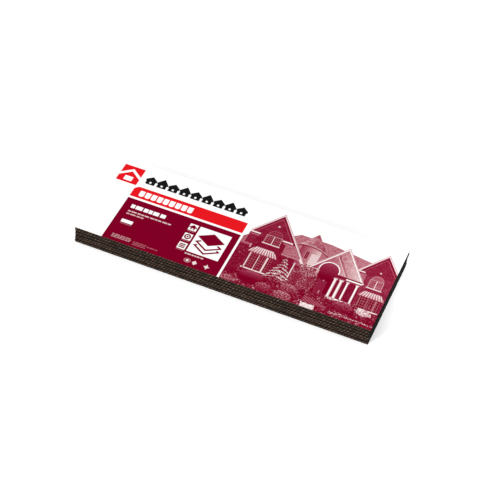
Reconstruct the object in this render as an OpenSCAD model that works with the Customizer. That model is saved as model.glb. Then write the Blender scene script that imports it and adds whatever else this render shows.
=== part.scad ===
// Bundle of laminated asphalt shingles, lying flat under a printed label sheet.
// Each shingle is three plies thick over its tab half and one ply thick over its head half. Two shingles
// nest with the thick half of one beside the thick half of the other, and the bundle is a stack of pairs.
// X runs along the shingles, Y from front to back and Z up, from the middle of the footprint.

/* [Shingle] */
// Length of a shingle
shingle_l = 1000; // [600:10:1300]
// Width of a shingle, from its tab edge to its head edge
shingle_w = 335; // [200:1:420]
// Thickness of one ply of granule-coated felt
ply_t = 2.9; // [2:0.1:4.5]
// How far the middle ply lies back from the cut edges of the top ply
middle_setback = 0.9; // [0:0.1:2]
// How far the bottom ply lies back from the cut edges of the top ply
bottom_setback = 0.4; // [0:0.1:2]

/* [Bundle] */
// Number of nested pairs of shingles
pairs = 6; // [1:1:10]
// How far the tab edges stand out past the head edges above and below them
stagger = 3; // [0:0.5:8]
// Least space between the thick halves of the two shingles in a pair
nest_gap = 1.5; // [0.5:0.5:30]
// Most that a shingle lies out of line, either way
jog = 1.2; // [0:0.1:3]
// How far each pair lies out to the left of the pair above it
lean_x = 0.9; // [-3:0.1:3]
// How far each pair lies out in front of the pair above it
lean_y = 1; // [-3:0.1:3]

/* [Label] */
// Thickness of the label sheet
label_t = 0.4; // [0.2:0.1:2]
// Rim of the top shingle that the label sheet leaves bare
label_rim = 0.5; // [0:0.5:20]

/* [Hidden] */
shingles = 2 * pairs;
function shingle_name(i) = str("shingle_", i < 10 ? "0" : "", i);

// A pair is the thick half of one shingle and the single ply of the other.
pair_h = 4 * ply_t;
stack_h = pairs * pair_h;
// Width of the thick half, so that two of them fit side by side whatever their jogs
lap_w = (shingle_w + stagger - nest_gap) / 2 - jog;

// The even shingles lie face up with their tab edge in front, the odd ones face down with it behind.
function faces_up(i) = i % 2 == 0;
function pairs_below(i) = floor((i - 1) / 2);
function slide_x(i) = jog * sin(137 * i + 20) + lean_x * pairs_below(i);
function slide_y(i) = jog * cos(81 * i * i + 115) + (faces_up(i) ? -1 : 1) * stagger / 2 + lean_y * pairs_below(i);
function middle(values) = (min(values) + max(values)) / 2;
middle_x = middle([for (i = [1 : shingles]) slide_x(i)]);
middle_y = middle([for (i = [1 : shingles]) slide_y(i)]);
function place(i) = [slide_x(i) - middle_x, slide_y(i) - middle_y, pairs_below(i) * pair_h];

granule_brown = [0.27, 0.21, 0.18];
paper_white = [0.96, 0.96, 0.95];

// One ply from the tab edge back, with its cut edges lying back by the setback
module ply(width, setback, level) {
    translate([-shingle_l / 2 + setback, -shingle_w / 2 + setback, level * ply_t])
        cube([shingle_l - 2 * setback, width - setback, ply_t]);
}

// A shingle with its granules up and its tab edge in front, its thick half on level 1 to 3 of the pair
module laminated_shingle() {
    ply(lap_w, bottom_setback, 1);
    ply(lap_w, middle_setback, 2);
    ply(shingle_w, 0, 3);
}

module shingle(i) {
    color(granule_brown)
        translate(place(i))
            if (faces_up(i)) laminated_shingle();
            else translate([0, 0, pair_h]) rotate([180, 0, 0]) laminated_shingle();
}

module label_sheet() {
    top = place(shingles);
    sheet = [shingle_l - 2 * label_rim, shingle_w - 2 * label_rim, label_t];
    color(paper_white)
        translate([top.x - sheet.x / 2, top.y - sheet.y / 2, stack_h])
            cube(sheet);
}

label_sheet();
for (i = [1 : shingles]) shingle(i);
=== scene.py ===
"""A bundle of laminated asphalt shingles under its printed label sheet, in a pale studio.

Every shingle is rebuilt as three ragged plies on the place that its solid holds, and the label sheet is
dressed with its print. All sizes are in metres, but for the print, which is laid out in millimetres.
"""

import logging
import math
import random
from dataclasses import dataclass, field
from enum import Enum, IntEnum
from typing import Any, Iterable, Sequence, Union

import bmesh
import bpy
from mathutils import Matrix, Vector, noise


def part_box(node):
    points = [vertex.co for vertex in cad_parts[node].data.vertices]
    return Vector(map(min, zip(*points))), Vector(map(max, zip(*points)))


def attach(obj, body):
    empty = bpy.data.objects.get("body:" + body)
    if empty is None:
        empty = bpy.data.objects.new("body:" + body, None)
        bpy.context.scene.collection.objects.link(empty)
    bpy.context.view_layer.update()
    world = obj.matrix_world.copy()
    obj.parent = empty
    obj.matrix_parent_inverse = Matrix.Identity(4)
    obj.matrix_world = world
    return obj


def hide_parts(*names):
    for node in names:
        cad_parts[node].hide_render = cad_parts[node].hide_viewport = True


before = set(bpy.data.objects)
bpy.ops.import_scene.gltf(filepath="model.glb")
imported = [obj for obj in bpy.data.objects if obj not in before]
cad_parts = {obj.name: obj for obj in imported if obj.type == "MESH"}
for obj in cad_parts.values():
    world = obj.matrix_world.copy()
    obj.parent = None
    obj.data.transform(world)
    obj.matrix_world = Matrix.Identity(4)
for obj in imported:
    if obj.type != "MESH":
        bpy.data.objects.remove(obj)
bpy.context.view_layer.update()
LOG = logging.getLogger("shingle_bundle")

Colour = tuple[float, float, float, float]
MM = 0.001

# Lines in the print, in millimetres: one in front of the sheet's front edge and one past its right end.
BEFORE_SHEET = -10.0
PAST_SHEET = 1010.0


def grey(level: float) -> Colour:
    """Returns a neutral colour of one level."""
    return (level, level, level, 1.0)


# ---------------------------------------------------------------- shader expressions


class Term:
    """A number on a shader socket that takes part in Python arithmetic."""

    def __init__(self, shader: "Shader", socket: bpy.types.NodeSocket) -> None:
        """Wraps an output socket, which carries a number, in the shader's tree."""
        self.shader = shader
        self.socket = socket

    def math(self, operation: str, *others: "Number", clamp: bool = False) -> "Term":
        """Feeds this number, and others after it, to a Math node.

        Args:
            operation: The Math node's operation.
            others: The operation's further values.
            clamp: Whether the result is held from 0 to 1.

        Returns:
            The node's result.
        """
        settings = {"operation": operation, "use_clamp": clamp}
        node = self.shader.node("ShaderNodeMath", settings, dict(enumerate((self, *others))))
        return Term(self.shader, node.outputs[0])

    def __add__(self, other: "Number") -> "Term":
        """Adds a number."""
        return self.math("ADD", other)

    __radd__ = __add__

    def __sub__(self, other: "Number") -> "Term":
        """Takes a number away."""
        return self.math("SUBTRACT", other)

    def __rsub__(self, other: float) -> "Term":
        """Takes this number away from another."""
        return self.math("MULTIPLY_ADD", -1.0, other)

    def __mul__(self, other: "Number") -> "Term":
        """Multiplies by a number."""
        return self.math("MULTIPLY", other)

    __rmul__ = __mul__

    def __neg__(self) -> "Term":
        """Turns the sign."""
        return self.math("MULTIPLY", -1.0)

    def __abs__(self) -> "Term":
        """Drops the sign."""
        return self.math("ABSOLUTE")

    def least(self, other: "Number") -> "Term":
        """Returns the lesser of two numbers: where two shapes overlap."""
        return self.math("MINIMUM", other)

    def most(self, other: "Number") -> "Term":
        """Returns the greater of two numbers: where either of two shapes is."""
        return self.math("MAXIMUM", other)

    def fraction(self) -> "Term":
        """Returns what is past the whole number below."""
        return self.math("FRACT")

    def whole(self) -> "Term":
        """Returns the whole number below."""
        return self.math("FLOOR")

    def sine(self) -> "Term":
        """Returns the sine of the number, in radians."""
        return self.math("SINE")

    def ramp(self, start: float, end: float) -> "Term":
        """Rises, or falls where end is below start, from 0 at start to 1 at end."""
        slope = 1.0 / (end - start)
        return self.math("MULTIPLY_ADD", slope, -start * slope, clamp=True)


Number = Union[Term, float]
Paint = Union[Colour, bpy.types.NodeSocket]


class Shader:
    """The node tree of one material."""

    def __init__(self, name: str) -> None:
        """Starts a material with an empty tree.

        Args:
            name: The material's name.
        """
        self.material = bpy.data.materials.new(name)
        self.material.use_nodes = True
        self.tree = self.material.node_tree
        self.tree.nodes.clear()

    def node(self, kind: str, settings: dict[str, Any], inputs: dict[Any, Any]) -> bpy.types.Node:
        """Makes a node.

        Args:
            kind: The node's type.
            settings: Its properties, set before its inputs. "stops" are a colour ramp's.
            inputs: Its sockets by name or number, each a term, a socket or a constant.

        Returns:
            The node.
        """
        node = self.tree.nodes.new(kind)
        for key, value in settings.items():
            if key == "stops":
                self.set_stops(node.color_ramp, value)
            else:
                setattr(node, key, value)
        for key, value in inputs.items():
            if isinstance(value, Term):
                self.tree.links.new(value.socket, node.inputs[key])
            elif isinstance(value, bpy.types.NodeSocket):
                self.tree.links.new(value, node.inputs[key])
            else:
                node.inputs[key].default_value = value
        return node

    @staticmethod
    def set_stops(ramp: bpy.types.ColorRamp, stops: Sequence[tuple[float, Colour]]) -> None:
        """Gives a colour ramp its stops.

        Args:
            ramp: The ramp, which starts with two stops.
            stops: Each stop's position and colour, in rising order.
        """
        while len(ramp.elements) < len(stops):
            ramp.elements.new(1.0)
        for element, (position, colour) in zip(ramp.elements, stops, strict=True):
            element.position = position
            element.color = colour

    def place(self, scale: Sequence[float], shift: Sequence[float] = (0, 0, 0)) -> bpy.types.NodeSocket:
        """Reads the object's coordinates.

        Args:
            scale: What each coordinate is multiplied by.
            shift: What is added to it after that.

        Returns:
            The coordinates, as a vector.
        """
        where = self.node("ShaderNodeTexCoord", {}, {}).outputs["Object"]
        settings = {"vector_type": "POINT"}
        inputs = {"Vector": where, "Scale": scale, "Location": shift}
        return self.node("ShaderNodeMapping", settings, inputs).outputs[0]

    def axes(self, vector: bpy.types.NodeSocket) -> tuple[Term, Term, Term]:
        """Splits a vector into its three numbers."""
        node = self.node("ShaderNodeSeparateXYZ", {}, {0: vector})
        return tuple(Term(self, output) for output in node.outputs)

    def noise(
        self, vector: bpy.types.NodeSocket, scale: float, detail: float = 2.0, rough: float = 0.5
    ) -> Term:
        """Returns cloudy noise of about 0.5, with a scale in clouds to a unit and finer octaves."""
        inputs = {"Vector": vector, "Scale": scale, "Detail": detail, "Roughness": rough}
        return Term(self, self.node("ShaderNodeTexNoise", {}, inputs).outputs["Fac"])

    def cells(self, vector: bpy.types.NodeSocket, scale: float) -> tuple[Term, Term]:
        """Makes rounded grains.

        Args:
            vector: Where the grains are read.
            scale: How many grains there are to a unit.

        Returns:
            How far a point is from its grain's middle, and a number of each grain's own from 0 to 1.
        """
        settings = {"feature": "F1", "distance": "EUCLIDEAN"}
        node = self.node("ShaderNodeTexVoronoi", settings, {"Vector": vector, "Scale": scale})
        grain = self.node("ShaderNodeSeparateColor", {}, {0: node.outputs["Color"]}).outputs[0]
        return Term(self, node.outputs["Distance"]), Term(self, grain)

    def stops(self, factor: Term, stops: Sequence[tuple[float, Colour]]) -> bpy.types.NodeSocket:
        """Returns the colour that a ramp gives for a number."""
        return self.node("ShaderNodeValToRGB", {"stops": stops}, {0: factor}).outputs["Color"]

    def mix(self, factor: Number, first: Paint, second: Paint) -> bpy.types.NodeSocket:
        """Returns the first colour where the factor is 0 and the second where it is 1."""
        node = self.node("ShaderNodeMix", {"data_type": "RGBA"}, {0: factor, 6: first, 7: second})
        return node.outputs[2]

    def bump(self, height: Term, distance: float, strength: float) -> bpy.types.NodeSocket:
        """Returns a normal that leans as a relief of 0 to 1 would, where 1 stands a distance high."""
        inputs = {"Height": height, "Distance": distance, "Strength": strength}
        return self.node("ShaderNodeBump", {}, inputs).outputs[0]

    def finish(
        self, colour: Paint, roughness: Number, normal: bpy.types.NodeSocket, gloss: float, glow: float = 0.0
    ) -> bpy.types.Material:
        """Ends the tree in a surface.

        Args:
            colour: The surface's own colour.
            roughness: From 0, a mirror, to 1.
            normal: The relief's normal.
            gloss: How strongly it reflects, where 0.5 is common plastic.
            glow: How strongly it shines by itself.

        Returns:
            The material.
        """
        inputs = {"Base Color": colour, "Roughness": roughness, "Normal": normal, "Specular IOR Level": gloss}
        if glow:
            inputs |= {"Emission Color": grey(1.0), "Emission Strength": glow}
        surface = self.node("ShaderNodeBsdfPrincipled", {}, inputs)
        self.node("ShaderNodeOutputMaterial", {}, {"Surface": surface.outputs[0]})
        return self.material


# ---------------------------------------------------------------- shingle finishes


@dataclass(frozen=True)
class GranuleFace:
    """The weathering side of a ply: brown stone granules pressed into asphalt, in colours darkened as painted
    shade.
    """

    grain: float = 1.5 * MM
    grains_in_clump: float = 0.45
    patches_per_metre: float = 60.0
    patch_share: float = 0.36
    clump_share: float = 0.26
    relief: float = 0.5 * MM
    # Its colours are kept darker than the granules' own, as painted shade for the ledges that show between
    # the shingles.
    dark: Colour = (0.0042, 0.0035, 0.003, 1.0)
    brown: Colour = (0.011, 0.008, 0.0063, 1.0)
    tan: Colour = (0.03, 0.021, 0.015, 1.0)
    pale: Colour = (0.08, 0.057, 0.042, 1.0)
    gloss: float = 0.12

    def granules(self, shader: Shader) -> tuple[bpy.types.NodeSocket, Term]:
        """Lays the granules.

        Args:
            shader: The tree that gets them.

        Returns:
            Their colour, and their height from 0 to 1.
        """
        where = shader.place((1, 1, 1))
        reach, kind = shader.cells(where, 1 / self.grain)
        colour = shader.stops(
            kind,
            [
                (0.0, self.dark),
                (0.45, self.brown),
                (0.8, self.brown),
                (0.93, self.tan),
                (0.975, self.pale),
            ],
        )
        patch = shader.noise(where, self.patches_per_metre, detail=3, rough=0.6).ramp(0.35, 0.65)
        clump = shader.cells(where, self.grains_in_clump / self.grain)[1]
        bare = self.patch_share + self.clump_share - self.patch_share * patch - self.clump_share * clump
        colour = shader.mix(bare, colour, self.dark)
        height = reach.ramp(0.75, 0.15)
        return colour, height

    def material(self) -> bpy.types.Material:
        """Makes the finish.

        Returns:
            The finish as a material.
        """
        shader = Shader("granule_face")
        colour, height = self.granules(shader)
        return shader.finish(colour, 0.95 - 0.15 * height, shader.bump(height, self.relief, 0.7), self.gloss)


class Lay(Enum):
    """Which way a shingle's granules look."""

    FACE_UP = "up"
    FACE_DOWN = "down"


class Dress(IntEnum):
    """The material slots of a shingle's mesh."""

    FACE = 0
    TAB_EDGE = 1
    HEAD_EDGE = 2
    CUT_END = 3
    GRANULE = 4


@dataclass(frozen=True)
class LongEdge(GranuleFace):
    """A tab or head edge: each ply's granules over its dark core of asphalt and felt, with painted shade next
    to the joints between pairs of shingles.
    """

    dark: Colour = (0.020, 0.0125, 0.009, 1.0)
    brown: Colour = (0.165, 0.090, 0.058, 1.0)
    tan: Colour = (0.40, 0.228, 0.139, 1.0)
    pale: Colour = (0.5, 0.33, 0.21, 1.0)
    ply_t: float = 2.9 * MM
    lay: Lay = Lay.FACE_UP
    # How much of the granule coat gives way to the dark core: on a head edge, partly its bare asphalt and
    # partly painted shade of its recess.
    shade: float = 0.0
    core: Colour = (0.0075, 0.0058, 0.0048, 1.0)
    granule_share: float = 0.84
    granule_fade: float = 0.12
    plies_in_pair: int = 4
    # Where the painted shade next to a joint between pairs starts and where it is full, as a share of a
    # pair's height.
    joint_shade_from: float = 0.52
    joint_shade_full: float = 0.30
    waves_per_metre: float = 220.0
    wave_share: float = 0.22
    smears_per_metre: float = 105.0
    notch_pitch: float = 10.7 * MM
    notch_slant: float = 0.6
    notch_waver: float = 1.5
    notch_wavers_per_metre: float = 14.0
    # How much a nick, and the painted shade next to a joint, take off the granule coat.
    wear_and_shade: float = 0.95

    def notches(self, shader: Shader) -> Term:
        """Lays the slanted nicks that the cutting rolls leave along the edge.

        Args:
            shader: The tree that gets them.

        Returns:
            1 in a nick and 0 between two.
        """
        along, _, up = shader.axes(shader.place((1, 1, 1)))
        waver = shader.noise(shader.place((1, 1, 1)), self.notch_wavers_per_metre, 2)
        turn = (along - up * self.notch_slant) * (math.tau / self.notch_pitch) + self.notch_waver * waver
        return turn.sine().ramp(-0.1, 0.4)

    def material(self) -> bpy.types.Material:
        """Makes the finish.

        Returns:
            The finish as a material.
        """
        shader = Shader(f"long_edge_{self.lay.value}_{round(100 * self.shade)}")
        colour, height = self.granules(shader)
        waver = shader.noise(shader.place((1, 1, 0)), self.waves_per_metre, 2) - 0.5
        height_in_plies = shader.axes(shader.place((1, 1, 1 / self.ply_t)))[2] + self.wave_share * waver
        height_in_pair = (height_in_plies * (1 / self.plies_in_pair)).fraction()
        level = height_in_plies.fraction()
        if self.lay is Lay.FACE_UP:
            level = 1.0 - level
        else:
            height_in_pair = 1.0 - height_in_pair
        coat = level.ramp(self.granule_share + self.granule_fade, self.granule_share - self.granule_fade)
        blot = shader.noise(shader.place((1, 1, 3.0)), self.smears_per_metre, detail=2, rough=0.6)
        smear = blot.ramp(0.45, 0.56)
        notch = self.notches(shader)
        # The plies next to a joint between pairs are darkened, as painted shade under the overhang.
        painted_joint_shade = height_in_pair.ramp(self.joint_shade_from, self.joint_shade_full)
        coat = coat * (0.25 + 0.75 * smear) * (1.0 - self.wear_and_shade * notch) * (1.0 - self.wear_and_shade * painted_joint_shade)
        colour = shader.mix(coat * (1.0 - self.shade), self.core, colour)
        normal = shader.bump(height * (0.35 + 0.65 * coat), self.relief, 0.8)
        return shader.finish(colour, 0.95 - 0.2 * height, normal, self.gloss)


@dataclass(frozen=True)
class LooseGranule:
    """The stone granules that stick out of the cut edges, each in a colour of its own."""

    spacing: float = 5 * MM
    flecks_per_metre: float = 1500.0
    dirt: Colour = (0.02, 0.014, 0.01, 1.0)
    gloss: float = 0.15

    def material(self) -> bpy.types.Material:
        """Makes the finish.

        Returns:
            The finish as a material.
        """
        shader = Shader("loose_granule")
        where = shader.place((1, 1, 1))
        kind = shader.cells(where, 1 / self.spacing)[1]
        colour = shader.stops(
            kind,
            [
                (0.0, (0.03, 0.02, 0.015, 1.0)),
                (0.5, (0.10, 0.06, 0.042, 1.0)),
                (0.8, (0.22, 0.135, 0.085, 1.0)),
                (1.0, (0.52, 0.36, 0.24, 1.0)),
            ],
        )
        fleck = shader.noise(where, self.flecks_per_metre, 2)
        colour = shader.mix(0.5 * fleck, colour, self.dirt)
        return shader.finish(colour, 0.65 + 0.25 * fleck, shader.bump(fleck, 0.1 * MM, 0.5), self.gloss)


@dataclass(frozen=True)
class CutEnd:
    """A knife-cut end: black asphalt with faint lines of stone dust between the plies."""

    ply_t: float = 2.9 * MM
    asphalt: Colour = (0.0062, 0.0065, 0.0066, 1.0)
    dust: Colour = (0.0145, 0.0152, 0.0154, 1.0)
    grit: float = 1.1 * MM
    waves_per_metre: float = 160.0
    wave_share: float = 0.2
    smears_per_metre: float = 90.0
    gloss: float = 0.06

    def material(self) -> bpy.types.Material:
        """Makes the finish.

        Returns:
            The finish as a material.
        """
        shader = Shader("cut_end")
        where = shader.place((1, 1, 1))
        reach, kind = shader.cells(where, 1 / self.grit)
        waver = shader.noise(shader.place((1, 1, 0)), self.waves_per_metre, 2) - 0.5
        height_in_plies = shader.axes(shader.place((1, 1, 1 / self.ply_t)))[2] + self.wave_share * waver
        line = abs(height_in_plies.fraction() - 0.5).ramp(0.34, 0.46)
        blot = shader.noise(shader.place((1, 1, 6)), self.smears_per_metre, detail=3, rough=0.65)
        smear = blot.ramp(0.35, 0.7)
        colour = shader.mix(line * (0.4 + 0.5 * kind), self.asphalt, self.dust)
        colour = shader.mix(0.55 * smear, colour, self.asphalt)
        height = (0.5 * smear + 0.5 * reach.ramp(0.7, 0.1)) * (1.0 - 0.5 * line)
        return shader.finish(colour, 0.75 + 0.2 * smear, shader.bump(height, 0.35 * MM, 0.6), self.gloss)


# ---------------------------------------------------------------- shingles


@dataclass(frozen=True)
class Ply:
    """One rectangular layer of a shingle, with its cut edges worn ragged."""

    size: Vector
    centre: Vector
    seed: float
    step: float = 5 * MM
    rounding: float = 0.45 * MM
    ragged: float = 0.4 * MM
    waves_per_metre: tuple[float, float, float] = (130.0, 110.0, 400.0)

    def build(self) -> bmesh.types.BMesh:
        """Makes the layer.

        Returns:
            A closed shell, with its faces in the slots that Dress names.
        """
        bm = bmesh.new()
        place = Matrix.Translation(self.centre) @ Matrix.Diagonal((*self.size, 1.0))
        bmesh.ops.create_cube(bm, size=1.0, matrix=place)
        bmesh.ops.bevel(
            bm,
            geom=bm.edges[:],
            offset=self.rounding,
            segments=2,
            profile=0.5,
            affect="EDGES",
            material=-1,
        )
        flats = [face for face in bm.faces if abs(face.normal.z) > 0.99]
        bmesh.ops.delete(bm, geom=flats, context="FACES_ONLY")
        for axis in (0, 1):
            length = self.size[axis]
            runs = [edge for edge in bm.edges if self.run(edge, axis) > 0.9 * length]
            bmesh.ops.subdivide_edges(bm, edges=runs, cuts=round(length / self.step), use_grid_fill=True)
        for vert in bm.verts:
            self.wear(vert)
        for face in bm.faces:
            face.material_index = self.side(face.normal)
            face.smooth = True
        rims = [edge for edge in bm.edges if edge.is_boundary]
        for face in bmesh.ops.edgeloop_fill(bm, edges=rims)["faces"]:
            face.material_index = Dress.FACE
        bmesh.ops.recalc_face_normals(bm, faces=bm.faces[:])
        return bm

    @staticmethod
    def run(edge: bmesh.types.BMEdge, axis: int) -> float:
        """Returns how far an edge goes along an axis."""
        return abs(edge.verts[0].co[axis] - edge.verts[1].co[axis])

    @staticmethod
    def side(normal: Vector) -> Dress:
        """Finds the slot of a face on the rim.

        Args:
            normal: The face's normal.

        Returns:
            The slot of a cut end, a tab edge or a head edge.
        """
        if abs(normal.x) > abs(normal.y):
            return Dress.CUT_END
        return Dress.TAB_EDGE if normal.y < 0 else Dress.HEAD_EDGE

    def wear(self, vert: bmesh.types.BMVert) -> None:
        """Moves a vertex in or out of the edges that it lies on.

        Args:
            vert: The vertex.
        """
        away = vert.co - self.centre
        for axis in (0, 1):
            if abs(away[axis]) > self.size[axis] / 2 - 1.5 * self.rounding:
                pitch = self.waves_per_metre[axis]
                height = vert.co.z * self.waves_per_metre[2] + self.seed + 7 * axis
                spot = Vector((vert.co.x * pitch, vert.co.y * pitch, height))
                fine = noise.noise(spot) + 0.5 * noise.noise(3.1 * spot)
                vert.co[axis] += self.ragged * fine * (1 if away[axis] > 0 else -1)


@dataclass(frozen=True)
class Finishes:
    """The materials that a shingle wears."""

    face: bpy.types.Material
    tab_edge: bpy.types.Material
    head_edge: bpy.types.Material
    cut_end: bpy.types.Material
    granule: bpy.types.Material

    def in_slots(self) -> tuple[bpy.types.Material, ...]:
        """Returns the materials in the order of the slots that Dress names."""
        return self.face, self.tab_edge, self.head_edge, self.cut_end, self.granule


@dataclass(frozen=True)
class GranuleScatter:
    """Stone granules half sunk in the cut edges of a ply."""

    per_metre: float = 60.0
    least_radius: float = 0.4 * MM
    most_radius: float = 0.85 * MM
    sunk: float = 0.3
    edge_share: float = 1.0
    end_share: float = 0.15

    def strew(self, bm: bmesh.types.BMesh, ply: Ply, chance: random.Random) -> None:
        """Adds the granules to a ply.

        Args:
            bm: The ply's mesh, which gets them.
            ply: The ply.
            chance: The source of every draw.
        """
        old_faces = len(bm.faces)
        for axis, share in ((0, self.edge_share), (1, self.end_share)):
            for side in (-1, 1):
                for _ in range(round(share * self.per_metre * ply.size[axis])):
                    self.place(bm, ply, axis, side, chance)
        bm.faces.ensure_lookup_table()
        for face in bm.faces[old_faces:]:
            face.material_index = Dress.GRANULE
            face.smooth = False

    def place(self, bm: bmesh.types.BMesh, ply: Ply, axis: int, side: int, chance: random.Random) -> None:
        """Adds one granule.

        Args:
            bm: The ply's mesh.
            ply: The ply.
            axis: The axis that the cut edge runs along.
            side: Which of the two such edges it is.
            chance: The source of the draws.
        """
        radius = chance.uniform(self.least_radius, self.most_radius)
        spot = Vector((0, 0, 0))
        spot[axis] = chance.uniform(-0.495, 0.495) * ply.size[axis]
        spot[1 - axis] = side * (ply.size[1 - axis] / 2 - self.sunk * radius)
        spot.z = chance.uniform(-0.25, 0.25) * ply.size.z
        angle = chance.uniform(0, math.tau)
        turn = Matrix.Rotation(angle, 4, Vector([chance.uniform(-1, 1) for _ in range(3)]))
        shape = Matrix.Diagonal((1.0, chance.uniform(0.6, 1.0), chance.uniform(0.6, 1.0), 1.0))
        place = Matrix.Translation(ply.centre + spot) @ turn @ shape
        bmesh.ops.create_icosphere(bm, subdivisions=1, radius=radius, matrix=place)


@dataclass
class Shingle:
    """A laminated shingle: two narrow plies under the tab half of a full one."""

    number: int
    low: Vector
    high: Vector
    lay: Lay
    lap_w: float = 167.0 * MM
    setbacks: tuple[float, float, float] = (0.4 * MM, 0.9 * MM, 0.0)
    scatter: GranuleScatter = GranuleScatter()

    def plies(self) -> Iterable[Ply]:
        """Lays out the plies of a shingle that lies face up with its tab edge towards -Y.

        Yields:
            Each ply, from the bottom one up.
        """
        size = self.high - self.low
        thickness = size.z / 3
        for level, setback in enumerate(self.setbacks):
            width = size.y if level == 2 else self.lap_w
            near = -size.y / 2 + setback
            far = -size.y / 2 + width
            yield Ply(
                size=Vector((size.x - 2 * setback, far - near, thickness)),
                centre=Vector((0, (near + far) / 2, (level - 1) * thickness)),
                seed=31.0 * self.number + 9.0 * level,
            )

    def build(self, finishes: Finishes) -> bpy.types.Object:
        """Makes the shingle's piece in the place of its solid.

        Args:
            finishes: The materials that it wears.

        Returns:
            The piece.
        """
        mesh = bpy.data.meshes.new(f"laminated_shingle_{self.number:02d}")
        chance = random.Random(self.number)
        whole = bmesh.new()
        for ply in self.plies():
            part = ply.build()
            self.scatter.strew(part, ply, chance)
            part.to_mesh(mesh)
            part.free()
            whole.from_mesh(mesh)
        turn = Matrix.Rotation(math.pi, 4, "X") if self.lay is Lay.FACE_DOWN else Matrix.Identity(4)
        place = Matrix.Translation((self.low + self.high) / 2) @ turn
        bmesh.ops.transform(whole, matrix=place, verts=whole.verts[:])
        whole.to_mesh(mesh)
        whole.free()
        for material in finishes.in_slots():
            mesh.materials.append(material)
        piece = bpy.data.objects.new(mesh.name, mesh)
        bpy.context.scene.collection.objects.link(piece)
        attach(piece, "root")
        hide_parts(f"shingle_{self.number:02d}")
        return piece


@dataclass
class ShingleStack:
    """The nested shingles, from the lowest one up."""

    prefix: str = "shingle_"
    # Head edges are darkened partly for their bare asphalt and partly as painted shade of their recess.
    head_shade: float = 0.9

    def build(self) -> list[bpy.types.Object]:
        """Makes every shingle.

        Returns:
            Their pieces.
        """
        face = GranuleFace().material()
        end = CutEnd().material()
        granule = LooseGranule().material()
        dressed = {}
        for lay in Lay:
            tab = LongEdge(lay=lay).material()
            head = LongEdge(lay=lay, shade=self.head_shade).material()
            dressed[lay] = Finishes(face, tab, head, end, granule)
        pieces = []
        names = sorted(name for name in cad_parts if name.startswith(self.prefix))
        for number, name in enumerate(names, start=1):
            low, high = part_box(name)
            lay = Lay.FACE_UP if number % 2 == 0 else Lay.FACE_DOWN
            pieces.append(Shingle(number, low, high, lay).build(dressed[lay]))
        return pieces


# ---------------------------------------------------------------- label print


class Ink:
    """The colours that the label is printed in."""

    PAPER: Colour = (0.86, 0.86, 0.85, 1.0)
    BLACK: Colour = (0.008, 0.008, 0.009, 1.0)
    RED: Colour = (0.66, 0.008, 0.013, 1.0)
    MAROON: Colour = (0.172, 0.0, 0.0145, 1.0)

    @classmethod
    def screen(cls, share: float) -> Colour:
        """Mixes the colour of maroon that is printed as dots.

        Args:
            share: How much of the paper is bare, as the eye sees it.

        Returns:
            The colour, with a little less blue than the even mix has.
        """
        gamma = 2.2
        shares = (share, share, share - 0.2 * share * (1 - share), 1.0)
        channels = []
        for ink, bare, part in zip(cls.MAROON, cls.PAPER, shares, strict=True):
            seen = (1 - part) * ink ** (1 / gamma) + part * bare ** (1 / gamma)
            channels.append(seen**gamma)
        return tuple(channels)


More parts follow.
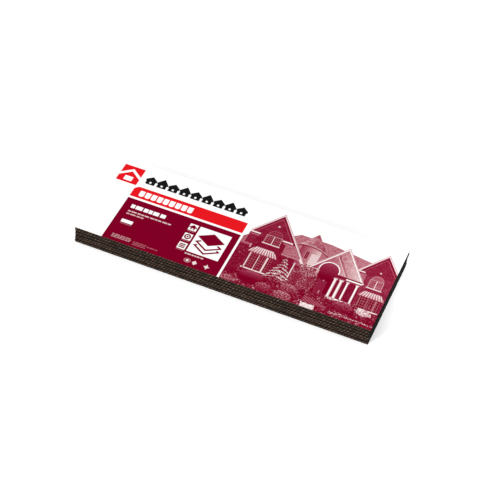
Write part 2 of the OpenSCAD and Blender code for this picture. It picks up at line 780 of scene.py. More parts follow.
class Canvas:
    """A flat print, drawn in millimetres from the front left corner of the sheet."""

    def __init__(self, shader: Shader, low: Vector, feather: float = 0.35) -> None:
        """Starts with blank paper.

        Args:
            shader: The tree that gets the print.
            low: The sheet's lowest corner.
            feather: How far an edge of ink takes to fade, in millimetres.
        """
        self.shader = shader
        self.where = shader.place((1 / MM, 1 / MM, 1 / MM), (-low.x / MM, -low.y / MM, -low.z / MM))
        self.u, self.v, _ = shader.axes(self.where)
        self.feather = feather
        self.colour: Paint = Ink.PAPER

    def box(self, left: float, bottom: float, right: float, top: float) -> Term:
        """Measures how far inside an upright box a point is.

        Args:
            left: The box's left side.
            bottom: Its lower side.
            right: Its right side.
            top: Its upper side.

        Returns:
            The distance, which is negative outside.
        """
        across = (right - left) / 2 - abs(self.u - (left + right) / 2)
        up = (top - bottom) / 2 - abs(self.v - (bottom + top) / 2)
        return across.least(up)

    def disc(self, u: float, v: float, radius: float, flat: float = 1.0) -> Term:
        """Measures how far inside a disc or an upright oval a point is.

        Args:
            u: The middle, from the left.
            v: The middle, from the front.
            radius: Half the width.
            flat: The height as a share of the width.

        Returns:
            The distance, which is negative outside.
        """
        across = self.u - u
        up = (self.v - v) * (1 / flat)
        return radius - (across * across + up * up).math("SQRT")

    def diamond(self, u: float, v: float, half_width: float, half_height: float) -> Term:
        """Measures how far inside a diamond a point is.

        Args:
            u: The middle, from the left.
            v: The middle, from the front.
            half_width: Half the width.
            half_height: Half the height.

        Returns:
            The distance, which is negative outside.
        """
        slope = half_width / half_height
        lean = math.hypot(1, slope)
        return (half_width - abs(self.u - u) - slope * abs(self.v - v)) * (1 / lean)

    def gable(self, u: float, peak: float, slope: float, base: float) -> Term:
        """Returns how far inside a gable a point is, whose sides drop by the slope for each step outwards."""
        roof = (peak - self.v - slope * abs(self.u - u)) * (1 / math.hypot(1, slope))
        return roof.least(self.v - base)

    def below(self, u: float, v: float, slope: float) -> Term:
        """Returns how far a point lies below a line through (u, v)."""
        return (v + slope * (self.u - u) - self.v) * (1 / math.hypot(1, slope))

    def mask(self, inside: Term) -> Term:
        """Returns 1 inside a shape and 0 outside, with a soft edge."""
        return inside.ramp(-self.feather, self.feather)

    def fill(self, inside: Term, colour: Paint) -> None:
        """Prints a shape."""
        self.colour = self.shader.mix(self.mask(inside), self.colour, colour)

    def words(
        self, left: float, bottom: float, right: float, top: float, rows: int, duty: float, word: float
    ) -> Term:
        """Lays out rows of plain bars, broken up as words are.

        Args:
            left: The left margin.
            bottom: The foot of the last row.
            right: The right margin.
            top: The head of the first row.
            rows: How many rows there are.
            duty: The share of a row's pitch that a bar takes.
            word: The mean length of a bar with the space after it.

        Returns:
            How far inside a bar a point is.
        """
        pitch = (top - bottom) / (rows - 1 + duty) if rows > 1 else (top - bottom) / duty
        row = (self.v - bottom) * (1 / pitch)
        bar = (duty / 2 - abs(row.fraction() - duty / 2)) * pitch
        along = (self.u - left) * (1 / word)
        uneven = along + 0.2 * (along * (1.9 + 0.6 * row.whole())).sine()
        gap = (0.41 - abs(uneven.fraction() - 0.5)) * word
        last = (math.floor((right - left) / word + 0.01) - uneven) * word
        return self.box(left, bottom, right, top).least(bar).least(gap).least(last)


class HousePicture:
    """A two-tone view of a made-up house with steep gables, behind a garden of shrubs."""

    def __init__(self, canvas: Canvas, left: float, right: float, top: float) -> None:
        """Starts with a white sky.

        Args:
            canvas: The print that gets the picture.
            left: The picture's left side, in millimetres.
            right: Its right side.
            top: Its upper side.
        """
        self.canvas = canvas
        self.shader = canvas.shader
        self.frame = canvas.box(left, BEFORE_SHEET, right, top)
        self.bare = 1.0
        self.white = 0.95
        self.tone: Number = self.bare
        self.fullest = 0.88
        self.grain = (self.shader.noise(canvas.where, 0.36, detail=3, rough=0.7) - 0.5) * 2.2
        self.cloud = (self.shader.noise(canvas.where, 0.06, detail=3, rough=0.6) - 0.5) * 1.8

    def paint(self, inside: Term, tone: Number) -> None:
        """Lays a tone on a shape.

        Args:
            inside: How far inside the shape a point is.
            tone: From 0 for full ink to 1 for bare paper.
        """
        inputs = {0: self.canvas.mask(inside), 2: self.tone, 3: tone}
        node = self.shader.node("ShaderNodeMix", {"data_type": "FLOAT"}, inputs)
        self.tone = Term(self.shader, node.outputs[0])

    def block(self, left: float, bottom: float, right: float, top: float, tone: Number) -> None:
        """Lays a tone on an upright box."""
        self.paint(self.canvas.box(left, bottom, right, top), tone)

    def courses(self, tone: float, pitch: float = 3.3) -> Term:
        """Returns the tone of a roof that is laid in courses."""
        line = abs((self.canvas.v * (1 / pitch)).fraction() - 0.5)
        return tone + self.grain * 0.62 + self.cloud * 0.2 - line * 0.24

    def stone(self, tone: float) -> Term:
        """Returns the tone of a dark stone wall."""
        return tone + self.grain * 0.5 + self.cloud * 0.16

    def glazing(self, u: float, base: float, pitch: float, tone: float) -> Term:
        """Makes a window with small panes.

        Args:
            u: The line between its two casements.
            base: The foot of its glass.
            pitch: The width of a pane.
            tone: The tone of the glass.

        Returns:
            The tone of its glass and bars.
        """
        canvas = self.canvas
        across = 0.5 - abs(((canvas.u - u) * (1 / pitch)).fraction() - 0.5)
        up = 0.5 - abs(((canvas.v - base) * (0.8 / pitch)).fraction() - 0.5)
        bars = canvas.mask(0.35 - across.least(up * 1.25) * pitch)
        return tone + self.cloud * 0.3 + bars * (0.66 - tone)

    def gable(self, u: float, peak: float, slope: float, left: float, right: float, foot: float) -> Term:
        """Draws the boards of a gable.

        Args:
            u: The middle of the gable.
            peak: The height of its ridge.
            slope: How steeply its roof drops.
            left: How far it reaches to the left.
            right: How far it reaches to the right.
            foot: The height at which it ends.

        Returns:
            How far inside the gable a point is.
        """
        canvas = self.canvas
        roof = canvas.gable(u, peak, slope, -100)
        reach = canvas.box(left, foot, right, peak + 20)
        self.paint((roof + 4.4).least(reach), 0.80 + self.grain * 0.4)
        self.paint((roof + 2.4).least(reach), 0.45)
        self.paint((roof + 1.4).least(reach), self.bare)
        self.paint((roof - 1.0).least(reach), self.stone(0.10))
        self.paint((2.2 - abs(roof - 7.5)).least(reach), self.stone(0.02))
        self.paint((0.8 - abs(roof - 9.6)).least(reach), 0.42 + self.grain * 0.4)
        return roof.least(reach)

    def sill(self, left: float, top: float, right: float, depth: float = 3.5) -> None:
        """Draws a white sill or ledge of a depth, with its shade below."""
        self.block(left + 2, top - depth - 4, right - 2, top - depth, 0.12)
        self.block(left, top - depth, right, top, 0.97)

    def fanlight(self, u: float, base: float, radius: float) -> None:
        """Draws the spokes of a round window head.

        Args:
            u: The middle of the head.
            base: The height of its foot.
            radius: Half its width.
        """
        canvas = self.canvas
        head = canvas.disc(u, base, radius).least(canvas.v - base)
        angle = (canvas.v - base).math("ARCTAN2", canvas.u - u) * (9 / math.pi)
        spokes = canvas.mask((0.1 - abs(angle.fraction() - 0.5)) * 5)
        self.paint(head, 0.05 + spokes * 0.4)
        self.paint((0.7 - abs(head - 1.0)).least(canvas.v - base), 0.42)
        self.paint((0.6 - abs(head - radius * 0.5)).least(canvas.v - base), 0.4)

    def window(
        self, u: float, base: float, half_width: float, height: float, pitch: float, tone: float
    ) -> None:
        """Draws a window with two casements and its sill.

        Args:
            u: The middle of the window.
            base: The foot of its glass.
            half_width: Half the width of its glass.
            height: The height of its glass.
            pitch: The width of a pane.
            tone: The tone of the glass.
        """
        left, right = u - half_width, u + half_width
        self.block(left - 1.8, base, right + 1.8, base + height + 1.5, 0.72)
        self.block(left, base, right, base + height, self.glazing(u, base, pitch, tone))
        self.block(u - 1.3, base, u + 1.3, base + height, self.white)
        self.sill(left - 5, base, right + 5)

    def bay(self, left: float, right: float, floor: float, eave: float, ridge: float, post: float) -> None:
        """Draws a bay window under its ribbed metal roof.

        Args:
            left: The left end of the eave.
            right: Its right end.
            floor: The height of the sill.
            eave: The height of the eave.
            ridge: The height of the roof's top.
            post: How wide and pale the posts between the casements are, as a share.
        """
        canvas = self.canvas
        middle = (left + right) / 2
        half = (right - left) / 2
        rise = (canvas.v - eave) * (1 / (ridge - eave))
        slant = half * 0.42 * rise * (0.5 + 0.5 * rise)
        roof = (half - abs(canvas.u - middle) - slant).least(ridge - canvas.v)
        fan = (canvas.u - middle) * (1 / 9.2) * (1.0 + 0.4 * rise)
        rib = abs(fan.fraction() - 0.5)
        self.block(left + 6, floor - 4, right - 6, eave, self.stone(0.05))
        self.paint(roof.least(canvas.v - eave), 0.28 + rib * 1.35 + rise * 0.15 + self.grain * 0.4)
        self.paint(roof.least(1.6 - abs(canvas.v - eave - 1)), 0.25 + rib * 1.0)
        self.block(left + 9, floor, right - 9, eave - 3, self.glazing(middle, floor, pitch=7.8, tone=-0.04))
        for share, width in ((-0.74, 1.8), (-0.12, 1.1), (0.46, 2.8)):
            u = middle + share * half
            self.block(u - width * post, floor, u + width * post, eave - 3, 0.92 * post)
        self.sill(left + 4, floor, right - 4, depth=4.5)

    def draw(self) -> None:
        """Draws the house from back to front and prints it."""
        self.draw_main_roof()
        self.draw_tower()
        self.draw_left_wing()
        self.draw_right_wing()
        self.draw_entrance()
        self.draw_porch()
        self.draw_garden()
        count = 5
        stops = [(step / count, Ink.screen(self.fullest * step / count)) for step in range(count)]
        stops += [(0.985, Ink.screen(self.fullest)), (self.bare, Ink.PAPER)]
        picture = self.shader.stops(self.tone, stops)
        self.canvas.fill(self.frame, picture)

    def draw_main_roof(self) -> None:
        """Draws the long roof and the dark walls under it."""
        canvas = self.canvas
        ridge = (262 - canvas.v).least(canvas.below(640, 242, slope=0.72))
        ridge = ridge.least(canvas.below(756, 264, slope=-0.13))
        self.paint(ridge.least(canvas.u - 640).least(990 - canvas.u), self.courses(0.53))
        self.block(499, BEFORE_SHEET, PAST_SHEET, 170, self.stone(0.04))

    def draw_tower(self) -> None:
        """Draws the round tower with its pointed roof."""
        canvas = self.canvas
        middle = 720.5
        across = canvas.u - middle
        light = across * (1 / 64)
        self.block(686, 140, 754, 240, 0.52 + light * 0.6 + self.grain * 0.5)
        # The sunlit strip of the wall, the little window and the cone over them.
        self.block(727, 148, 751, 203, 0.86 + self.grain * 0.3)
        self.paint(canvas.disc(714, 203, 7.2).most(canvas.box(706.8, 174, 721.2, 203)), 0.6)
        opening = canvas.disc(714, 203, 5.8).most(canvas.box(708.2, 176, 719.8, 203))
        self.paint(opening, self.glazing(714, 176, pitch=5.8, tone=-0.1))
        eave = canvas.v - 232 + across * across * (9 / 45**2) + across * 0.08
        cone = canvas.gable(middle, 286, slope=1.34, base=200)
        self.paint((eave + 5.5).least(cone), 0.1)
        self.paint(cone.least(eave), self.courses(0.53) - light * 0.3 + self.cloud * 0.3)
        self.paint((0.9 - abs(eave)).least(cone), 0.85)

    def draw_left_wing(self) -> None:
        """Draws the tall left gable, the roofs beside it and its bay."""
        canvas = self.canvas
        side_roof = canvas.box(499, 160, 545, 206).least(canvas.below(499, 184, slope=0.95))
        self.paint(side_roof, self.courses(0.46))
        self.block(499, 156, 543, 160, 0.35)
        self.block(536, 150, 541, 186, 0.72 + self.grain)
        inside = self.gable(u=591, peak=313.5, slope=1.29, left=514, right=760, foot=165)
        self.paint(inside.least(canvas.box(638, 165, 700, 212)) - 2.2, self.courses(0.5))
        self.block(640, 160, 704, 166, 0.55)
        board = 4.2 - abs(canvas.below(700, 168, slope=-1.15))
        self.paint(canvas.box(700, 140, 726, 172).least(board), self.white)
        # The stone wall, the ends of the eaves, the round ornament and the windows.
        self.block(540, BEFORE_SHEET, 640, 203, self.stone(0.05))
        for left, right in ((513, 548), (624, 658)):
            self.block(left + 6, 203, right - 2, 210, 0.45)
            self.sill(left, 217, right, depth=5.5)
        self.paint(canvas.disc(591, 264, 3.3), 0.9)
        self.fanlight(595, 219, 25)
        self.window(u=595, base=185.5, half_width=25, height=33, pitch=7.2, tone=0.02)
        self.bay(left=539, right=635, floor=70, eave=135, ridge=161, post=1.0)

    def draw_right_wing(self) -> None:
        """Draws the right gable, which the edge of the sheet cuts off, and its bay."""
        canvas = self.canvas
        self.gable(u=953, peak=289.5, slope=1.29, left=882, right=PAST_SHEET, foot=120)
        self.block(893, BEFORE_SHEET, PAST_SHEET, 199, self.stone(0.15))
        self.block(893, 120, 913, 196, self.stone(0.42))
        self.sill(880, 203, 906, depth=4.5)
        self.paint(canvas.disc(951, 216, 3.0), 0.9)
        head = canvas.disc(952, 182, 20.5).least(canvas.v - 182)
        self.paint(head, 0.38 + self.grain * 0.3 + canvas.mask(0.6 - abs(head - 1)) * 0.3)
        self.window(u=952, base=150, half_width=20.5, height=32, pitch=6.8, tone=0.28)
        self.bay(left=914, right=1000, floor=64, eave=111, ridge=133, post=0.6)

    def draw_entrance(self) -> None:
        """Draws the middle gable and its round-headed doorway."""
        canvas = self.canvas
        reach = canvas.v - 152
        gable = canvas.below(830, 266, slope=1.27).least(canvas.below(830, 266, slope=-1.34)).least(reach)
        self.paint((gable + 4).least(reach), 0.84 + self.grain * 0.4)
        self.paint((gable + 2.0).least(reach), 0.4)
        self.paint((gable + 1.2).least(reach), self.bare)
        # The roof over the door gets lighter to the right, past a seam.
        light = (canvas.u - 830) * (1 / 120)
        self.paint(gable - 2.0, self.courses(0.62, pitch=4.1) + light * 0.45)
        seam = canvas.below(808, 226, slope=-1.42)
        self.paint((3.5 - abs(seam + 5)).least(gable - 6), self.courses(0.45, pitch=4.1) + light * 0.6)
        self.paint((1.1 - abs(seam)).least(gable - 6), 0.85)
        oval = canvas.disc(829, 225, 9.5, flat=1.25)
        self.paint(oval, 0.72)
        self.paint(oval - 2.0, 0.5)
        # The doorway: its arch, the pale jamb, the door, the lamp over it and the handle.
        self.block(764, 44, 834, 160, self.stone(0.2))
        arch = canvas.disc(801, 163, 30.5).most(canvas.box(773, 44, 828, 163))
        self.paint((arch + 3.4).least(canvas.v - 158), self.bare)
        self.block(764, 44, 773, 160, 0.7 + self.grain * 0.8)
        self.paint(arch, 0.06 + self.grain * 0.2 + (canvas.v - 150) * 0.005)
        self.block(784, 50, 813, 118, 0.13 + self.grain * 0.2)
        self.paint(canvas.disc(800, 119, 2.4), 0.66)
        self.paint(canvas.box(801, 66, 803, 78), 0.8)

    def draw_porch(self) -> None:
        """Draws the porch with its round columns."""
        canvas = self.canvas
        self.block(826, 40, 912, 158, self.stone(0.04))
        self.block(862, 148, 914, 153, self.bare)
        self.block(830, 143, 910, 147, 0.3)
        for u, foot, half_width in ((832, 46, 4.4), (851, 46, 5.0), (872, 70, 3.2), (903, 67, 3.4)):
            shade = 1.12 - abs(canvas.u - u + 0.8) * 0.09
            self.block(u - half_width, foot, u + half_width, 142, shade)
            self.block(u - half_width - 2, 138, u + half_width + 2, 143, 0.92)
        self.block(826, 44, 858, 68, 0.78 + self.grain * 0.7)
        self.block(856, 62, 908, 67, self.bare)

    def draw_garden(self) -> None:
        """Draws the trees, the shrubs and the path in front of the house."""
        canvas = self.canvas
        leaf = (self.shader.noise(canvas.where, 0.13, detail=4, rough=0.78) - 0.5) * 1.3
        hedge = self.shader.noise(canvas.where, 0.03, detail=2, rough=0.5) - 0.5
        lit = hedge.ramp(-0.10, 0.16)
        glint = leaf.ramp(0.03, 0.24)
        spark = self.shader.noise(canvas.where, 0.3, detail=2, rough=0.8).ramp(0.5, 0.62)
        low = (80 - canvas.v).ramp(0, 60)
        dark = glint * (0.2 + 0.75 * lit + 0.3 * low) + spark * lit * 0.15
        twig = self.shader.noise(canvas.where, 0.22, detail=4, rough=0.85).ramp(0.47, 0.62)
        self.paint(canvas.disc(736, 98, 46, flat=1.2) + leaf * 60, 0.02 + twig * (0.35 + 0.6 * lit))
        self.paint(canvas.disc(514, 96, 26, flat=1.5) + leaf * 44, 0.02 + glint * (0.3 + 0.4 * lit))
        self.paint(canvas.disc(742, 130, 26, flat=0.7) + leaf * 40, 0.02 + twig * 0.95)
        # The fir with its drooping boughs, and the drainpipe beside it.
        branch = canvas.v + abs(canvas.u - 664) * 0.3 + leaf * 26
        bough = abs((branch * (1 / 12.5)).fraction() - 0.5).ramp(0.24, 0.44)
        fir = canvas.gable(664, 152, slope=2.3, base=38) + leaf * 34
        self.paint(fir, 0.02 + bough * (0.9 + leaf * 1.5) + spark * 0.1)
        self.block(691, 84, 695, 148, 0.92)
        self.paint(62 + hedge * 60 + leaf * 40 - canvas.v, dark)
        # Each bush's middle, radius and how pale its leaves are.
        bushes = (
            (890, 46, 34, 0.5),
            (716, 46, 28, 0.8),
            (588, 40, 40, 0.12),
            (705, 12, 30, 1.0),
            (640, 20, 26, 0.6),
        )
        for u, v, radius, pale in bushes:
            bush = canvas.disc(u, v, radius, flat=0.62) + leaf * 24
            self.paint(bush, 0.02 + twig * pale * 0.85 + (canvas.v - v) * 0.012)
        self.paint(canvas.disc(955, 50, 24, flat=0.5) + leaf * 26, 0.78 + leaf * 1.9 + self.grain * 0.5)
        # The paving, the path and the flowers along the front edge.
        steps = abs(((canvas.u * 0.55 + canvas.v) * (1 / 7.5)).fraction() - 0.5)
        paving = canvas.box(768, 18, 846, 46).least(canvas.below(768, 46, slope=-0.25))
        self.paint(paving + leaf * 8, 0.04 + steps * 0.9)
        self.paint(canvas.box(766, BEFORE_SHEET, 812, 16) + leaf * 14, 0.92 + leaf * 0.8)
        self.paint(canvas.disc(520, 12, 34, flat=0.3) + leaf * 30, 0.1 + twig * 0.8)
        bloom = 1.8 - abs(canvas.v - 13 - hedge * 18 - leaf * 12)
        self.paint((bloom + 0.8).least(canvas.u - 858), 0.2 + spark * 1.1)
        self.paint((bloom + 1.5).least(560 - canvas.u), 0.1 + spark * 0.8)


@dataclass
class LabelPrint:
    """The printed side of the label sheet, with plain bars and signs where its wording would be.

    The sizes but the last are in millimetres from the sheet's front left corner.
    """

    low: Vector
    margin: float = 20.0
    panel_left: float = 95.0
    panel_right: float = 494.0
    panel_top: float = 183.0
    band_foot: float = 191.0
    band_top: float = 237.0
    picture_left: float = 501.0
    picture_right: float = PAST_SHEET
    picture_top: float = 330.0
    text_left: float = 120.5
    gloss: float = 0.0

    def material(self) -> bpy.types.Material:
        """Makes the print.

        Returns:
            The print as a material.
        """
        shader = Shader("label_print")
        canvas = Canvas(shader, self.low)
        HousePicture(canvas, self.picture_left, self.picture_right, self.picture_top).draw()
        self.draw_heading(canvas)
        self.draw_panel(canvas)
        self.draw_layers(canvas)
        self.draw_signs(canvas)
        fibre = shader.noise(canvas.where, 1.2, detail=3, rough=0.6)
        wave = shader.noise(canvas.where, 0.02, detail=2, rough=0.5)
        colour = shader.mix(0.04 * fibre, canvas.colour, Ink.BLACK)
        normal = shader.bump(0.12 * fibre + wave, 0.6 * MM, 0.5)
        return shader.finish(colour, 0.55 + 0.15 * fibre, normal, self.gloss)

    def draw_heading(self, canvas: Canvas) -> None:
        """Draws the roof sign, the black row of houses beside it and the red band under them.

        Args:
            canvas: The print that gets them.
        """
        right = self.panel_left - 1
        canvas.fill(canvas.box(self.margin, 238, right, 311), Ink.RED)
        roof = canvas.gable(57, 300, slope=0.72, base=200)
        half_board = 4.6
        board = half_board - abs(roof - half_board)
        canvas.fill(board.least(canvas.box(self.margin, 256, right, 311)), Ink.PAPER)
        canvas.fill(canvas.box(42.5, 247, 71.5, 266), Ink.PAPER)
        self.draw_houses(canvas, left=112, right=476, foot=258, peak=294, count=9)
        band = canvas.box(self.panel_left, self.band_foot, self.panel_right, self.band_top)
        canvas.fill(band.least(canvas.below(self.panel_left, 226, slope=0.9)), Ink.RED)
        self.draw_tabs(canvas, left=119, count=9, pitch=21.6)

    def draw_tabs(self, canvas: Canvas, left: float, count: int, pitch: float) -> None:
        """Draws a row of white tabs with rounded feet in the red band.

        Args:
            canvas: The print that gets it.
            left: Where the row starts.
            count: How many tabs there are.
            pitch: How far it is from one tab to the next.
        """
        across = abs(((canvas.u - left) * (1 / pitch)).fraction() - 0.5) * pitch
        tab = (8.6 - across).least((canvas.v - 198 - 0.55 * across) * 0.88)
        canvas.fill(tab.least(canvas.box(left, 200, left + count * pitch, 224)), Ink.PAPER)

    def draw_houses(
        self, canvas: Canvas, left: float, right: float, foot: float, peak: float, count: int
    ) -> None:
        """Draws a black row of plain gabled houses.

        Args:
            canvas: The print that gets it.
            left: Where the row starts.
            right: Where it ends.
            foot: The height of the houses' feet.
            peak: The height of their ridges.
            count: How many houses there are.
        """
        pitch = (right - left) / count
        step = (canvas.u - left) * (1 / pitch)
        across = (step.fraction() - 0.5) * pitch
        tall = (step.whole() * 0.5).fraction() * 2.0
        roof = (peak + 5 * tall - canvas.v - abs(across) * (0.75 + 0.3 * tall)) * 0.78
        walls = (pitch * 0.40 - abs(across)).most((pitch * 0.485 - abs(across)).least(canvas.v - foot - 14))
        row = canvas.box(left, foot, right, peak + 4)
        canvas.fill(roof.least(walls).least(row), Ink.BLACK)
        pane = (3.4 - abs(across)).least(3.4 - abs(canvas.v - foot - 9))
        canvas.fill(pane.least(row), Ink.PAPER)

    def draw_panel(self, canvas: Canvas) -> None:
        """Draws the maroon panel, its bars and the white rule beside the picture.

        Args:
            canvas: The print that gets them.
        """
        left = self.text_left
        canvas.fill(canvas.box(self.panel_right, BEFORE_SHEET, self.picture_left, self.band_top), Ink.PAPER)
        canvas.fill(canvas.box(self.panel_left, BEFORE_SHEET, self.panel_right, self.panel_top), Ink.MAROON)
        canvas.fill(canvas.words(left, 145, 244, 160, rows=1, duty=1.0, word=20.5), Ink.PAPER)
        canvas.fill(canvas.words(left, 128, 275, 133, rows=1, duty=1.0, word=15.4), Ink.screen(0.75))
        canvas.fill(canvas.words(left, 116.5, 186, 121.5, rows=1, duty=1.0, word=16.3), Ink.screen(0.7))
        canvas.fill(canvas.box(left, 80, 160, 93), Ink.PAPER)
        canvas.fill(canvas.words(left, 73.5, 160, 77, rows=1, duty=1.0, word=6.5), Ink.screen(0.4))
        canvas.fill(canvas.words(left, 13, 188, 27, rows=3, duty=0.5, word=9.6), Ink.screen(0.62))
        canvas.fill(canvas.words(197, 8, 243, 22, rows=3, duty=0.5, word=7.6), Ink.screen(0.4))
        canvas.fill(canvas.words(245, 15, 282, 19, rows=1, duty=1.0, word=12.3), Ink.screen(0.35))
        canvas.fill(canvas.words(363, 43, 427, 48, rows=1, duty=1.0, word=10.6), Ink.screen(0.75))

    def draw_layers(self, canvas: Canvas) -> None:
        """Draws the sign of three stacked layers, of which the top one is full.

        Args:
            canvas: The print that gets it.
        """
        middle = 418
        canvas.fill(canvas.box(middle - 54, 55, middle + 54, 163), Ink.PAPER)
        for v, is_full in ((87, False), (103, False), (125, True)):
            canvas.fill(canvas.diamond(middle, v, 54, 30.5), Ink.PAPER)
            canvas.fill(canvas.diamond(middle, v, 47, 26.5), Ink.MAROON)
            if not is_full:
                canvas.fill(canvas.diamond(middle, v, 35, 19.5), Ink.PAPER)

    def draw_signs(self, canvas: Canvas) -> None:
        """Draws the small signs beside and under the layers.

        Args:
            canvas: The print that gets them.
        """
        for v in (68.5, 108.5, 150):
            canvas.fill(canvas.box(329.5, v - 13.5, 357, v + 13.5), Ink.PAPER)
            bar = canvas.words(329.5, v - 19, 357, v - 15.5, rows=1, duty=1.0, word=6.8)
            canvas.fill(bar, Ink.screen(0.4))
        house = canvas.gable(343, 161, slope=0.8, base=148).most(canvas.box(335.5, 140, 350.5, 150))
        canvas.fill(house, Ink.MAROON)
        canvas.fill(canvas.box(340.5, 140, 345.5, 146), Ink.PAPER)
        canvas.fill(2.6 - abs(canvas.disc(343, 108.5, 8.5)), Ink.MAROON)
        canvas.fill(canvas.disc(343, 108.5, 3.4), Ink.MAROON)
        for v in (62, 68.5, 75):
            canvas.fill(canvas.box(333, v - 2.3, 353, v + 2.3), Ink.MAROON)
        canvas.fill(1.2 - abs(canvas.disc(384, 21, 10, flat=0.75)), Ink.screen(0.6))
        canvas.fill(canvas.disc(384, 21, 4.5), Ink.screen(0.9))
        canvas.fill(canvas.diamond(409, 20, 8.5, 9), Ink.screen(0.85))
        canvas.fill(canvas.diamond(450, 20, 11, 4).most(canvas.diamond(450, 20, 4, 11)), Ink.screen(0.85))
        canvas.fill(canvas.disc(450, 20, 5.5), Ink.screen(0.85))


@dataclass
class LabelSheet:
    """The sheet of stiff paper on the top shingle, a little wavy, with its print on top."""

    node: str = "label_sheet"
    under: str = "shingle_12"
    thickness: float = 0.3 * MM
    wave: float = 0.25 * MM
    waves_per_metre: tuple[float, float] = (5.0, 7.0)
    step: float = 8 * MM
    corner: float = 2 * MM

    def build(self) -> bpy.types.Object:
        """Makes the sheet over the whole top shingle.

        Returns:
            Its piece.
        """
        low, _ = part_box(self.node)
        near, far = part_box(self.under)
        mesh = bpy.data.meshes.new("printed_sheet")
        bm = self.sheet(Vector((near.x, near.y, low.z)), Vector((far.x, far.y, low.z)))
        bm.to_mesh(mesh)
        bm.free()
        mesh.materials.append(LabelPrint(low).material())
        piece = bpy.data.objects.new(mesh.name, mesh)
        bpy.context.scene.collection.objects.link(piece)
        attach(piece, "root")
        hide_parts(self.node)
        return piece

    def sheet(self, low: Vector, high: Vector) -> bmesh.types.BMesh:
        """Makes the sheet's mesh.

        Args:
            low: Its front left corner, on its underside.
            high: Its back right corner.

        Returns:
            A closed shell with a map for the print.
        """
        size = high - low
        bm = bmesh.new()
        place = Matrix.Translation((low + high) / 2) @ Matrix.Diagonal((size.x / 2, size.y / 2, 1, 1))
        cuts = [round(length / self.step) for length in (size.x, size.y)]
        bmesh.ops.create_grid(bm, x_segments=cuts[0], y_segments=cuts[1], size=1.0, matrix=place)
        corners = [vert for vert in bm.verts if len(vert.link_edges) == 2]
        bmesh.ops.bevel(
            bm,
            geom=corners,
            offset=self.corner,
            segments=4,
            profile=0.5,
            affect="VERTICES",
            material=-1,
        )
        for vert in bm.verts:
            across, up = self.waves_per_metre
            lift = noise.noise(Vector((vert.co.x * across, vert.co.y * up, 0.5)))
            vert.co.z += self.wave * max(0.0, lift)
        faces = bmesh.ops.extrude_face_region(bm, geom=bm.faces[:])["geom"]
        raised = [item for item in faces if isinstance(item, bmesh.types.BMVert)]
        bmesh.ops.translate(bm, vec=(0, 0, self.thickness), verts=raised)
        bmesh.ops.recalc_face_normals(bm, faces=bm.faces[:])
        self.unwrap(bm, low, size)
        return bm

    @staticmethod
    def unwrap(bm: bmesh.types.BMesh, low: Vector, size: Vector) -> None:
        """Lays the print out in two rows, left half over right, so that it fills a square map.

        Args:
            bm: The sheet's mesh, which gets the map.
            low: The sheet's front left corner.
            size: The sheet's length and width.
        """
        layer = bm.loops.layers.uv.new("OFBake")
        margin, filled, squeeze, row_pitch = 0.01, 0.98, 0.72, 0.74
        scale = filled / (size.x / 2)
        middle = low.x + size.x / 2
        row = size.y * scale
        for face in bm.faces:
            centre = face.calc_center_median()
            right = centre.x > middle
            for loop in face.loops:
                across = loop.vert.co.x - (middle if right else low.x)
                up = loop.vert.co.y - low.y
                if face.normal.z > 0.5:
                    height = margin / 2 + up * scale * squeeze + right * row * row_pitch
                    loop[layer].uv = (margin + across * scale, height)
                elif face.normal.z < -0.5:
                    # The underside is blank, so it gets a thin strip above the two rows.
                    along = loop.vert.co.x - low.x
                    loop[layer].uv = (margin + along * 0.49 * scale, 0.986 - up * scale * 0.02)
                else:
                    # The edge gets a thinner strip above that.
                    drop = (loop.vert.co.z - low.z) / (2 * MM)
                    along = loop.vert.co.x + loop.vert.co.y - low.x - low.y
                    loop[layer].uv = (margin + along * 0.36 * scale, 0.99 + 0.008 * drop)


# ---------------------------------------------------------------- studio


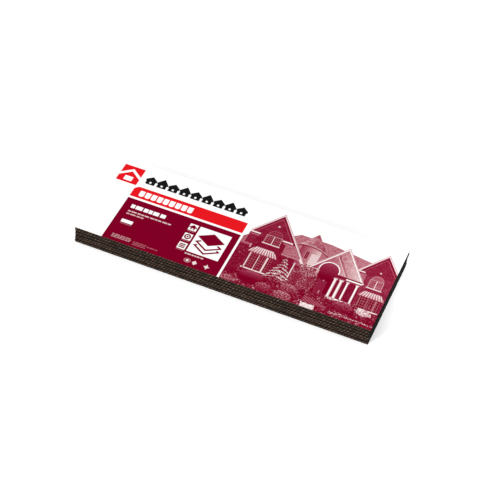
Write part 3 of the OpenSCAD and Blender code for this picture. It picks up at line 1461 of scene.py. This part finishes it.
@dataclass
class Studio:
    """A pale floor, a soft low lamp from the front left, and the camera."""

    target: Vector = field(default_factory=lambda: Vector((0.0223, 0.0266, 0.0)))
    azimuth: float = 24.16
    elevation: float = 49.76
    distance: float = 4.37
    lens: float = 98.85
    lamp_azimuth: float = -29.0
    lamp_elevation: float = 27.0
    lamp_strength: float = 1.85
    lamp_spread: float = 16.0
    fill_place: Vector = field(default_factory=lambda: Vector((0.84, 0.46, 0.50)))
    fill_aim: Vector = field(default_factory=lambda: Vector((0.59, 0.14, 0.0)))
    fill_power: float = 11.0
    fill_cone: float = 40.0
    floor_side: float = 60.0
    floor_glow: float = 0.2
    floor_tones: tuple[float, float] = (0.89, 0.91)

    @staticmethod
    def direction(azimuth: float, elevation: float) -> Vector:
        """Returns the way to a point that is seen at this azimuth and elevation, in degrees."""
        turn, rise = math.radians(azimuth), math.radians(elevation)
        return Vector((math.sin(turn) * math.cos(rise), -math.cos(turn) * math.cos(rise), math.sin(rise)))

    @staticmethod
    def put(content: bpy.types.Light | bpy.types.Camera, spot: Vector, back: Vector) -> bpy.types.Object:
        """Puts a lamp or a camera into the scene.

        Args:
            content: The lamp or the camera.
            spot: Where it goes.
            back: The way that it looks away from.

        Returns:
            The object that holds it.
        """
        holder = bpy.data.objects.new(content.name, content)
        holder.matrix_world = Matrix.Translation(spot) @ back.to_track_quat("Z", "Y").to_matrix().to_4x4()
        bpy.context.scene.collection.objects.link(holder)
        return holder

    def build(self) -> None:
        """Makes the floor, the lights and the camera."""
        self.build_floor()
        self.build_light()
        self.build_fill()
        self.build_camera()

    def build_floor(self) -> None:
        """Lays the floor."""
        shader = Shader("studio_floor")
        where = shader.place((1, 1, 1))
        cloud = shader.noise(where, 1.5, 2)
        colour = shader.mix(cloud, grey(self.floor_tones[0]), grey(self.floor_tones[1]))
        material = shader.finish(colour, 0.9, shader.bump(cloud, 0.2 * MM, 0.1), 0.0, self.floor_glow)
        mesh = bpy.data.meshes.new("studio_floor")
        bm = bmesh.new()
        bmesh.ops.create_grid(bm, x_segments=2, y_segments=2, size=self.floor_side / 2)
        bm.to_mesh(mesh)
        bm.free()
        mesh.materials.append(material)
        floor = bpy.data.objects.new("studio_floor", mesh)
        bpy.context.scene.collection.objects.link(floor)

    def build_light(self) -> None:
        """Hangs the lamp and lights the room evenly."""
        lamp = bpy.data.lights.new("key_lamp", "SUN")
        lamp.energy = self.lamp_strength
        lamp.angle = math.radians(self.lamp_spread)
        towards = self.direction(self.lamp_azimuth, self.lamp_elevation)
        self.put(lamp, 3 * towards, towards)
        world = bpy.data.worlds.new("room")
        world.use_nodes = True
        world.node_tree.nodes["Background"].inputs["Color"].default_value = grey(1.0)
        world.node_tree.nodes["Background"].inputs["Strength"].default_value = 1.0
        bpy.context.scene.world = world
        bpy.context.scene.view_settings.view_transform = "Standard"

    def build_fill(self) -> None:
        """Hangs a weak spot over the floor past the right end, where it thins the shadow."""
        lamp = bpy.data.lights.new("fill_lamp", "SPOT")
        lamp.energy = self.fill_power
        lamp.spot_size = math.radians(self.fill_cone)
        lamp.spot_blend = 1.0
        lamp.shadow_soft_size = 0.1
        self.put(lamp, self.fill_place, self.fill_place - self.fill_aim)

    def build_camera(self) -> None:
        """Sets the camera."""
        camera = bpy.data.cameras.new("camera")
        camera.lens = self.lens
        camera.sensor_width = 36.0
        back = self.direction(self.azimuth, self.elevation)
        bpy.context.scene.camera = self.put(camera, self.target + self.distance * back, back)


def main() -> None:
    """Builds the bundle and the studio round it."""
    logging.basicConfig(level=logging.INFO, format="%(name)s: %(message)s")
    Studio().build()
    for piece in ShingleStack().build():
        LOG.info("%s has %d faces", piece.name, len(piece.data.polygons))
    sheet = LabelSheet().build()
    LOG.info("%s has %d faces", sheet.name, len(sheet.data.polygons))


if __name__ == "__main__":
    main()
